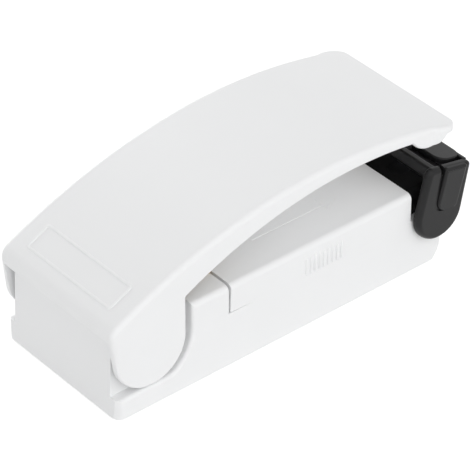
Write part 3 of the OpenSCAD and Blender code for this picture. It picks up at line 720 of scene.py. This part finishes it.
def arm_outline():
    """An arm's side view, which has a round lower end and tapers a little to its top."""
    rear, front = ARM_END[0] - ARM_END_R, ARM_END[0] + ARM_END_R
    top = rounded_outline([(front, ARM_END[1], 0.0), (front, ARM_H, ARM_CORNER_R),
                           (rear + ARM_TAPER, ARM_H, ARM_REAR_CORNER_R), (rear, ARM_END[1], 0.0)])
    return arc(ARM_END, ARM_END_R, FULL_TURN / 2.0, FULL_TURN) + top[1:-1]


def arm_edge(x):
    """The radius of an arm's outer edge, which gets larger to the rear."""
    return ARM_EDGE_R + (ARM_REAR_EDGE_R - ARM_EDGE_R) * blend(-x, 0.0, ARM_END_R - ARM_REAR_CORNER_R)


def tongue_outline():
    rear, front = TONGUE_X
    return rounded_outline([(rear, TONGUE_LOW, TONGUE_CORNER_R), (front, TONGUE_LOW, TONGUE_FRONT_R),
                            (front, TONGUE_TOP, TONGUE_TOP_R), (rear, TONGUE_TOP, TONGUE_TOP_R)])


def groove_outline():
    """The hollow behind a tongue. It is open at the arm's top and runs out at the tongue's lower corner."""
    rear, front = TONGUE_X[0] - GROOVE_W, TONGUE_X[1] - GROOVE_W
    return rounded_outline([(rear, TONGUE_LOW + GROOVE_LOW[0], TONGUE_CORNER_R),
                            (front, TONGUE_LOW + GROOVE_LOW[1], 0.0),
                            (front, ARM_H + GROOVE_W, 0.0), (rear, ARM_H + GROOVE_W, 0.0)])


def jaw_side(side):
    """One arm with its tongue and the groove round it."""
    def leaning(x, y, z):
        """Brings the tongue's face back to the arm's at its lower end."""
        back = (TONGUE_Y - ARM_Y[1]) * (1.0 - blend(z, TONGUE_LOW, TONGUE_TOP))
        return jaw_place(x, y - side * back, z)

    floor = ARM_Y[1] - GROOVE_DEPTH
    outline = arm_outline()
    edge = [arm_edge(x) for x, _ in outline]
    arm = side_prism("arm", outline, side, *ARM_Y, ARM_INNER_R, edge, jaw_place)
    combine(arm, "DIFFERENCE", side_prism("groove", groove_outline(), side, floor, TONGUE_Y + GROOVE_W,
                                          GROOVE_FLOOR_R, 0.0, jaw_place))
    tongue = side_prism("tongue", tongue_outline(), side, floor - GROOVE_DEPTH / 2.0, TONGUE_Y,
                        0.0, TONGUE_EDGE_R, leaning)
    return combine(arm, "UNION", tongue)


def top_notch(side):
    """The gap through an arm's top, behind its tongue."""
    rear, front, top = TONGUE_X[0] - GROOVE_W, TONGUE_X[0], ARM_H + GROOVE_W
    outline = rounded_outline([(rear, NOTCH_Z, NOTCH_R), (front, NOTCH_Z, NOTCH_R), (front, top, 0.0),
                               (rear, top, 0.0)])
    return side_prism("notch", outline, side, ARM_Y[0] - GROOVE_W, TONGUE_Y + GROOVE_W, 0.0, 0.0, jaw_place)


def saddle_bar():
    """The crossbar with the rib behind its trough."""
    rear, front = SADDLE_REAR[0], TROUGH_X[0]
    section = rounded_outline([(*SADDLE_REAR, 0.0), (SADDLE_LOW_X, BAR_Z, 0.0), (ARM_R, BAR_Z, SADDLE_EDGE_R),
                               (ARM_R, TROUGH_Z, 0.0), (front, TROUGH_Z, SADDLE_EDGE_R),
                               (front, ARM_H, RIB_FRONT_R), (rear, ARM_H - RIB_FALL, RIB_REAR_R)])
    reach = ARM_Y[0] + SADDLE_EDGE_R
    return rounded_prism("saddle", section, -reach, reach, 0.0, 0.0, jaw_place)


def front_wall():
    """The wall ahead of the trough, with rounded ends beside the arms, and the floor round it."""
    reach = ARM_Y[0] + 2.0 * OVERLAP
    plan = soft_rectangle((TROUGH_X[1], ARM_R), (-WALL_HALF, WALL_HALF), WALL_END_R)
    wall = rounded_prism("front_wall", plan, BAR_Z + SADDLE_EDGE_R, ARM_H + WALL_RISE, 0.0, WALL_EDGE_R,
                         lambda x, z, y: jaw_place(x, y, z))
    floor = rectangle((TROUGH_X[1] + OVERLAP, ARM_R - SADDLE_EDGE_R), (BAR_Z + 2.0 * OVERLAP, SCOOP_Z))
    return combine(wall, "UNION", rounded_prism("scoop_floor", floor, -reach, reach, 0.0, 0.0, jaw_place))


def front_lip():
    """The lip that closes each scoop at the front."""
    reach, low = ARM_Y[0] + 3.0 * OVERLAP, BAR_Z + 3.0 * OVERLAP
    outline = rectangle((-reach, reach), (low, ARM_H + WALL_RISE - OVERLAP / 2.0))
    return rounded_prism("front_lip", outline, FRONT_LIP_X, ARM_R - OVERLAP, WALL_EDGE_R, WALL_EDGE_R,
                         lambda y, x, z: jaw_place(x, y, z))


def pad_seat():
    """The pocket in the saddle that holds the sealing pad."""
    outline = rectangle(PAD_X, (PAD_Z, ARM_H + OVERLAP))
    return rounded_prism("pad_seat", outline, -PAD_HALF, PAD_HALF, 0.0, 0.0, jaw_place)


def build_jaw():
    jaw = jaw_side(-1.0)
    combine(jaw, "UNION", jaw_side(1.0), saddle_bar(), front_wall(), front_lip())
    combine(jaw, "DIFFERENCE", *[top_notch(side) for side in SIDES], pad_seat())
    combine(jaw, "DIFFERENCE", cross_bar("bore", *JAW_AXIS, JAW_BORE_R, JAW_BORE_END))
    jaw.name = "jaw"
    return stands_for(smooth(jaw), "jaw", "black_shell", "swing_jaw")


# The base


def recess_cutter(side):
    """The space round an ear, flared so that the base keeps a rounded rim round it."""
    drop = HINGE[1] - LEDGE_Z - RECESS_FILLET_R
    fillet_x = HINGE[0] + math.sqrt((RECESS_R - RECESS_FILLET_R) ** 2 - drop ** 2)
    fillet = (fillet_x, LEDGE_Z + RECESS_FILLET_R)
    turn = bearing(HINGE, fillet)
    outline = [(-WALL, LEDGE_Z)] + arc(fillet, RECESS_FILLET_R, -FULL_TURN / 4.0, turn, FINE_STEP)
    outline += arc(HINGE, RECESS_R, turn, 0.0, FINE_STEP)[1:]
    outline += [(HINGE[0] + RECESS_R, COVER_TOP + WALL), (-WALL, COVER_TOP + WALL)]
    return side_prism("recess", outline, side, RECESS_HALF, HALF_W, 0.0, -RECESS_EDGE_R, over=RECESS_EDGE_R)


def tray_holes(wide):
    """Cutters for the axle, the jaw's pins and the case screws."""
    holes = [cross_bar("axle", *HINGE, AXLE_HOLE_R, wide)]
    for side in SIDES:
        holes.append(cylinder("jaw_pin", to_frame(JAW_AXIS[0], side * JAW_PIN_HOLE[1], JAW_AXIS[1]),
                              to_frame(JAW_AXIS[0], side * wide, JAW_AXIS[1]), JAW_PIN_HOLE[0]))
        x, y = REAR_SCREW[0], side * REAR_SCREW[1]
        holes += [upright("head", x, y, -WALL, SCREW_HEAD_TOP, SCREW_HEAD_R),
                  upright("shank", x, y, 0.0, wide, SCREW_HOLE_R),
                  upright("shank", FRONT_SCREW[0], side * FRONT_SCREW[1], LEDGE_Z, wide, SCREW_HOLE_R)]
    return holes


def build_tray():
    plan = soft_rectangle((0.0, FRONT_X), (-HALF_W, HALF_W), TRAY_CORNER_R)
    tray = rounded_prism("tray", plan, 0.0, SEAM_Z, TRAY_FOOT_R, SEAM_EDGE_R, plan_place)
    rear = rectangle((0.0, WALL), (LEDGE_Z, REAR_WALL_Z))
    combine(tray, "UNION", rounded_prism("rear_wall", rear, -RECESS_HALF, RECESS_HALF,
                                         REAR_WALL_EDGE_R, REAR_WALL_EDGE_R))
    slope = [(-WALL, 0.0), (0.0, 0.0), (2.0 * REAR_DRAFT, 2.0 * REAR_WALL_Z), (-WALL, 2.0 * REAR_WALL_Z)]
    nose = [(FRONT_X - BEVEL[0], 0.0), (FRONT_X, BEVEL[1]), (FRONT_X + BEVEL[0], BEVEL[1]),
            (FRONT_X + BEVEL[0], -WALL), (FRONT_X - BEVEL[0], -WALL)]
    wide = 2.0 * HALF_W
    combine(tray, "DIFFERENCE", rounded_prism("slope", slope, -wide, wide, 0.0, 0.0),
            rounded_prism("nose", nose, -wide, wide, 0.0, 0.0), *[recess_cutter(side) for side in SIDES],
            block("rear_bay", REAR_BAY_X[:2], RECESS_HALF - WALL, (WALL, wide)),
            block("middle_bay", REAR_BAY_X[1:], HALF_W - WALL, (WALL, wide)),
            block("cell_bay", CELL_BAY_X, HALF_W - WALL, (WALL, wide)))
    combine(tray, "UNION", *[upright("post", REAR_SCREW[0], side * REAR_SCREW[1], WALL / 2.0, SEAM_Z, POST_R)
                             for side in SIDES])
    combine(tray, "DIFFERENCE", *tray_holes(wide))
    return stands_for(smooth(tray), "base", "white_shell", "base_tray")


def top_section(half=HALF_W, low=SEAM_Z, top=COVER_TOP, radius=COVER_R):
    """A section with rounded upper corners. As given it is the housing's and the cover's, on the seam."""
    return rounded_outline([(-half, low, 0.0), (half, low, 0.0), (half, top, radius), (-half, top, radius)])


def build_housing():
    housing = rounded_prism("housing", top_section(), HOUSING_X[1] - WALL, HOUSING_X[2], 0.0, COVER_END_R,
                            end_place)
    wide = 2.0 * HALF_W
    combine(housing, "UNION", block("rear_block", HOUSING_X[:2], RECESS_HALF, (SEAM_Z, REAR_WALL_Z)))
    cuts = [block("step", (0.0, HOUSING_X[1]), wide, (REAR_WALL_Z, wide)),
            *[recess_cutter(side) for side in SIDES],
            block("hollow", (WALL, HOUSING_X[1]), HOUSING_HOLLOW[0], (0.0, HOUSING_HOLLOW[1])),
            cross_bar("axle", *HINGE, AXLE_HOLE_R, wide),
            upright("pocket", SPRING_X, 0.0, POCKET_Z, wide, SPRING_BOSS_R)]
    leaf_groove = rectangle((CELL_BAY_X[0], wide), (0.0, wide))
    cuts += [rounded_prism("groove", leaf_groove, middle - LEAF_HALF, middle + LEAF_HALF, 0.0, 0.0)
             for middle in (-LEAF_Y, LEAF_Y)]
    combine(housing, "DIFFERENCE", *cuts)
    return stands_for(smooth(housing), "base", "white_shell", "rear_housing")


def soften(node, width):
    """Rounds the real edges of a CAD piece a little, as its mould does."""
    piece = frame["nodes"][node]
    weld = piece.modifiers.new("weld", "WELD")
    weld.merge_threshold = WELD_GAP * MM
    merge = piece.modifiers.new("merge_flats", "DECIMATE")
    merge.decimate_type = "DISSOLVE"
    merge.angle_limit = FLAT_ANGLE
    edges = piece.modifiers.new("edges", "BEVEL")
    edges.width = width * MM
    edges.segments = BLOCK_EDGE_STEPS
    edges.limit_method = "ANGLE"
    edges.angle_limit = BLOCK_EDGE_ANGLE
    edges.use_clamp_overlap = True
    edges.miter_outer = "MITER_ARC"
    flat = piece.modifiers.new("flat_faces", "WEIGHTED_NORMAL")
    flat.keep_sharp = False
    piece.data.polygons.foreach_set("use_smooth", [True] * len(piece.data.polygons))


# The cover


def faded(z):
    """A height on a rib, whose rounded upper end is drawn out until it fades into the side."""
    start = RIB_Z[1] - RIB_RISE
    return min(z, start) + max(z - start, 0.0) * RIB_FADE / RIB_RISE


def cover_rib(side, middle):
    """One soft ridge on a side of the cover."""
    section = ridge(RIB_W / 2.0, RIB_RISE, RIB_STEPS)
    return rounded_prism("rib", section, *RIB_Z, RIB_FOOT_R, RIB_RISE,
                         lambda x, z, y: to_frame(middle + x, side * (HALF_W + y), faded(z)))


def build_ribs():
    """The grip ribs on both of the cover's sides."""
    ridges = [cover_rib(side, RIB_X + i * RIB_PITCH) for side in SIDES for i in range(RIB_COUNT)]
    ribs = combine(ridges[0], "UNION", *ridges[1:])
    ribs.name = "ribs"
    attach(ribs, "cover")
    return smooth(ribs)


def cover_arrow(side):
    """A plain arrow on the cover that points to the mouth."""
    neck = ARROW_X[1] - 2.0 * ARROW_HEAD
    plan = [(ARROW_X[0], -ARROW_HALF), (neck, -ARROW_HALF), (neck, -ARROW_HEAD), (ARROW_X[1], 0.0),
            (neck, ARROW_HEAD), (neck, ARROW_HALF), (ARROW_X[0], ARROW_HALF)]
    return rounded_prism("arrow", plan, COVER_TOP - COVER_T / 2.0, COVER_TOP + ARROW_RISE, 0.0, ARROW_RISE,
                         lambda x, z, y: to_frame(x, side * ARROW_Y + y, z))


def build_cover():
    cover = rounded_prism("cover", top_section(), *COVER_X, COVER_END_R, COVER_END_R, end_place)
    hollow = top_section(HALF_W - COVER_T, 0.0, COVER_TOP - COVER_T, COVER_R / 2.0)
    rear, behind, above = COVER_X[0], COVER_X[0] - WALL, COVER_TOP + WALL
    lift = [(behind, 0.0), (rear + LIFT_L, 0.0), (rear + LIFT_L, SEAM_Z), (behind, SEAM_Z + LIFT_H)]
    rear_edge = [(behind, COVER_LEAN_Z), (rear, COVER_LEAN_Z), (rear + COVER_LEAN, above), (behind, above)]
    combine(cover, "DIFFERENCE", rounded_prism("hollow", hollow, 0.0, FRONT_X, 0.0, 0.0, end_place),
            rounded_prism("lift", lift, -FRONT_X, FRONT_X, 0.0, 0.0),
            rounded_prism("rear_edge", rear_edge, -FRONT_X, FRONT_X, 0.0, 0.0))
    combine(cover, "UNION", *[cover_arrow(side) for side in SIDES])
    return stands_for(smooth(cover), "cover", "white_shell", "battery_cover")


# Materials


def material(name, colour, rough, spread, grain, bump, metal=0.0, specular=SPECULAR):
    """A procedural finish: uneven colour and gloss at two sizes, and a fine grain in the surface.

    spread is how far the colour varies, grain the size of the fine texture in millimetres, and bump how
    strongly it shows.
    """
    made = bpy.data.materials.new(name)
    made.use_nodes = True
    nodes, links = made.node_tree.nodes, made.node_tree.links
    shader = nodes["Principled BSDF"]
    shader.inputs["Metallic"].default_value = metal
    shader.inputs["Specular IOR Level"].default_value = specular
    place = nodes.new("ShaderNodeTexCoord")
    broad = nodes.new("ShaderNodeTexNoise")
    broad.inputs["Scale"].default_value = BROAD_SCALE
    broad.inputs["Detail"].default_value = BROAD_DETAIL
    fine = nodes.new("ShaderNodeTexNoise")
    fine.inputs["Scale"].default_value = 1.0 / (grain * MM)
    fine.inputs["Detail"].default_value = FINE_DETAIL
    for noise in (broad, fine):
        links.new(place.outputs["Object"], noise.inputs["Vector"])
    tint = nodes.new("ShaderNodeMix")
    tint.data_type = "RGBA"
    tint.inputs["A"].default_value = (*[c * (1.0 - spread) for c in colour], 1.0)
    tint.inputs["B"].default_value = (*[min(c * (1.0 + spread), 1.0) for c in colour], 1.0)
    links.new(broad.outputs["Fac"], tint.inputs["Factor"])
    links.new(tint.outputs["Result"], shader.inputs["Base Color"])
    gloss = nodes.new("ShaderNodeMapRange")
    gloss.inputs["To Min"].default_value = rough * (1.0 - GLOSS_SPREAD)
    gloss.inputs["To Max"].default_value = rough * (1.0 + GLOSS_SPREAD)
    links.new(fine.outputs["Fac"], gloss.inputs["Value"])
    links.new(gloss.outputs["Result"], shader.inputs["Roughness"])
    relief = nodes.new("ShaderNodeBump")
    relief.inputs["Strength"].default_value = bump
    relief.inputs["Distance"].default_value = GRAIN_DEPTH * MM
    links.new(fine.outputs["Fac"], relief.inputs["Height"])
    links.new(relief.outputs["Normal"], shader.inputs["Normal"])
    return made


FINISH_VALUES = {
    "white_shell": dict(colour=(0.88, 0.885, 0.89), rough=0.4, spread=0.012, grain=0.35, bump=0.12),
    "white_inner": dict(colour=(0.88, 0.88, 0.88), rough=0.5, spread=0.012, grain=0.4, bump=0.15),
    "black_shell": dict(colour=(0.011, 0.011, 0.0115), rough=0.34, spread=0.12, grain=0.3, bump=0.3,
                        specular=0.25),
    "steel": dict(colour=(0.62, 0.62, 0.63), rough=0.3, spread=0.04, grain=0.2, bump=0.2, metal=1.0),
    "dark_steel": dict(colour=(0.05, 0.05, 0.055), rough=0.4, spread=0.06, grain=0.2, bump=0.2, metal=1.0),
    "spring_wire": dict(colour=(0.58, 0.58, 0.6), rough=0.25, spread=0.05, grain=0.15, bump=0.2, metal=1.0),
    "brass": dict(colour=(0.78, 0.6, 0.3), rough=0.3, spread=0.05, grain=0.25, bump=0.2, metal=1.0),
    "cell_wrap": dict(colour=(0.05, 0.09, 0.14), rough=0.35, spread=0.1, grain=0.4, bump=0.1),
    "heating_alloy": dict(colour=(0.45, 0.43, 0.42), rough=0.4, spread=0.08, grain=0.2, bump=0.3,
                          metal=1.0),
    "carrier": dict(colour=(0.3, 0.2, 0.12), rough=0.6, spread=0.1, grain=0.4, bump=0.4),
    "release_tape": dict(colour=(0.32, 0.2, 0.1), rough=0.55, spread=0.1, grain=0.3, bump=0.6),
    "silicone": dict(colour=(0.035, 0.035, 0.037), rough=0.65, spread=0.1, grain=0.4, bump=0.3),
}
FINISHES = {name: material(name, **values) for name, values in FINISH_VALUES.items()}


def dress(piece, slot_name):
    piece.data.materials.clear()
    piece.data.materials.append(FINISHES[slot_name])


def node_slots():
    """The finish slot of each CAD node, as the record gives it."""
    return {part["node"]: part["material_slot"] for part in frame["record"]["subparts"]}


# Stage, light and camera


def seen_rays(nodes, links):
    """One for the rays that see the stage straight, in a reflection or through a clear piece."""
    path = nodes.new("ShaderNodeLightPath")
    total = path.outputs["Is Camera Ray"]
    for ray in ("Is Glossy Ray", "Is Transmission Ray"):
        more = nodes.new("ShaderNodeMath")
        more.operation = "ADD"
        more.use_clamp = True
        links.new(total, more.inputs[0])
        links.new(path.outputs[ray], more.inputs[1])
        total = more.outputs["Value"]
    return total


def build_stage():
    shape = bmesh.new()
    bmesh.ops.create_grid(shape, x_segments=1, y_segments=1, size=FLOOR_SIZE)
    floor = object_from("floor", shape)
    finish = bpy.data.materials.new("floor_white")
    finish.use_nodes = True
    nodes, links = finish.node_tree.nodes, finish.node_tree.links
    shader = nodes["Principled BSDF"]
    shader.inputs["Base Color"].default_value = (FLOOR_TONE, FLOOR_TONE, FLOOR_TONE, 1.0)
    shader.inputs["Roughness"].default_value = FLOOR_ROUGH
    shader.inputs["Specular IOR Level"].default_value = 0.0
    shader.inputs["Emission Color"].default_value = WHITE
    lift = nodes.new("ShaderNodeMath")
    lift.operation = "MULTIPLY"
    lift.inputs[1].default_value = FLOOR_LIFT
    links.new(seen_rays(nodes, links), lift.inputs[0])
    links.new(lift.outputs["Value"], shader.inputs["Emission Strength"])
    floor.data.materials.append(finish)


def add_lamp(name, place, size, power):
    """A soft round lamp that points at the part's middle."""
    lamp = bpy.data.lights.new(name, "AREA")
    lamp.shape = "DISK"
    lamp.size = size
    lamp.energy = power
    light = new_object(name, lamp)
    light.location = place
    aim = (CAD_BOX[0] + CAD_BOX[1]) / 2.0 - Vector(place)
    light.rotation_euler = aim.to_track_quat("-Z", "Y").to_euler()


def build_light():
    """A studio tent that is brighter on the near side, a wide lamp there and a low one on the far side."""
    world = bpy.data.worlds.new("studio")
    bpy.context.scene.world = world
    world.use_nodes = True
    nodes, links = world.node_tree.nodes, world.node_tree.links
    place = nodes.new("ShaderNodeTexCoord")
    split = nodes.new("ShaderNodeSeparateXYZ")
    links.new(place.outputs["Generated"], split.inputs["Vector"])
    level = nodes.new("ShaderNodeMath")
    level.operation = "MULTIPLY"
    slopes = (("Y", TENT_NEAR, TENT_FAR), ("Z", TENT_WALL, TENT_ROOF))
    for (axis, start, end), factor in zip(slopes, level.inputs):
        slope = nodes.new("ShaderNodeMapRange")
        slope.inputs["From Min"].default_value, slope.inputs["To Min"].default_value = start
        slope.inputs["From Max"].default_value, slope.inputs["To Max"].default_value = end
        links.new(split.outputs[axis], slope.inputs["Value"])
        links.new(slope.outputs["Result"], factor)
    fill = nodes["Background"]
    fill.inputs["Color"].default_value = WHITE
    links.new(level.outputs["Value"], fill.inputs["Strength"])
    seen = nodes.new("ShaderNodeBackground")
    seen.inputs["Color"].default_value = WHITE
    seen.inputs["Strength"].default_value = 1.0
    mix = nodes.new("ShaderNodeMixShader")
    links.new(seen_rays(nodes, links), mix.inputs["Fac"])
    links.new(fill.outputs["Background"], mix.inputs[1])
    links.new(seen.outputs["Background"], mix.inputs[2])
    links.new(mix.outputs["Shader"], nodes["World Output"].inputs["Surface"])
    add_lamp("key", KEY_PLACE, KEY_SIZE, KEY_POWER)
    add_lamp("fill", FILL_PLACE, FILL_SIZE, FILL_POWER)


def build_camera():
    lens = bpy.data.cameras.new("camera")
    lens.sensor_width = SENSOR_W
    lens.lens = LENS
    camera = new_object("camera", lens)
    turn = Matrix((CAMERA_RIGHT, CAMERA_UP, CAMERA_BACK)).transposed().to_4x4()
    camera.matrix_world = Matrix.Translation(CAMERA_PLACE) @ turn
    bpy.context.scene.camera = camera


lever = build_lever()
jaw = build_jaw()
shells = (build_tray(), build_housing(), build_cover(), build_ribs())
soften("front_block", BLOCK_EDGE)
for node, slot_name in node_slots().items():
    dress(frame["nodes"][node], slot_name)
for shell in (lever, *shells):
    dress(shell, "white_shell")
dress(jaw, "black_shell")
dress(build_spring(), "spring_wire")
build_stage()
build_light()
build_camera()
bpy.context.scene.view_settings.view_transform = "Standard"
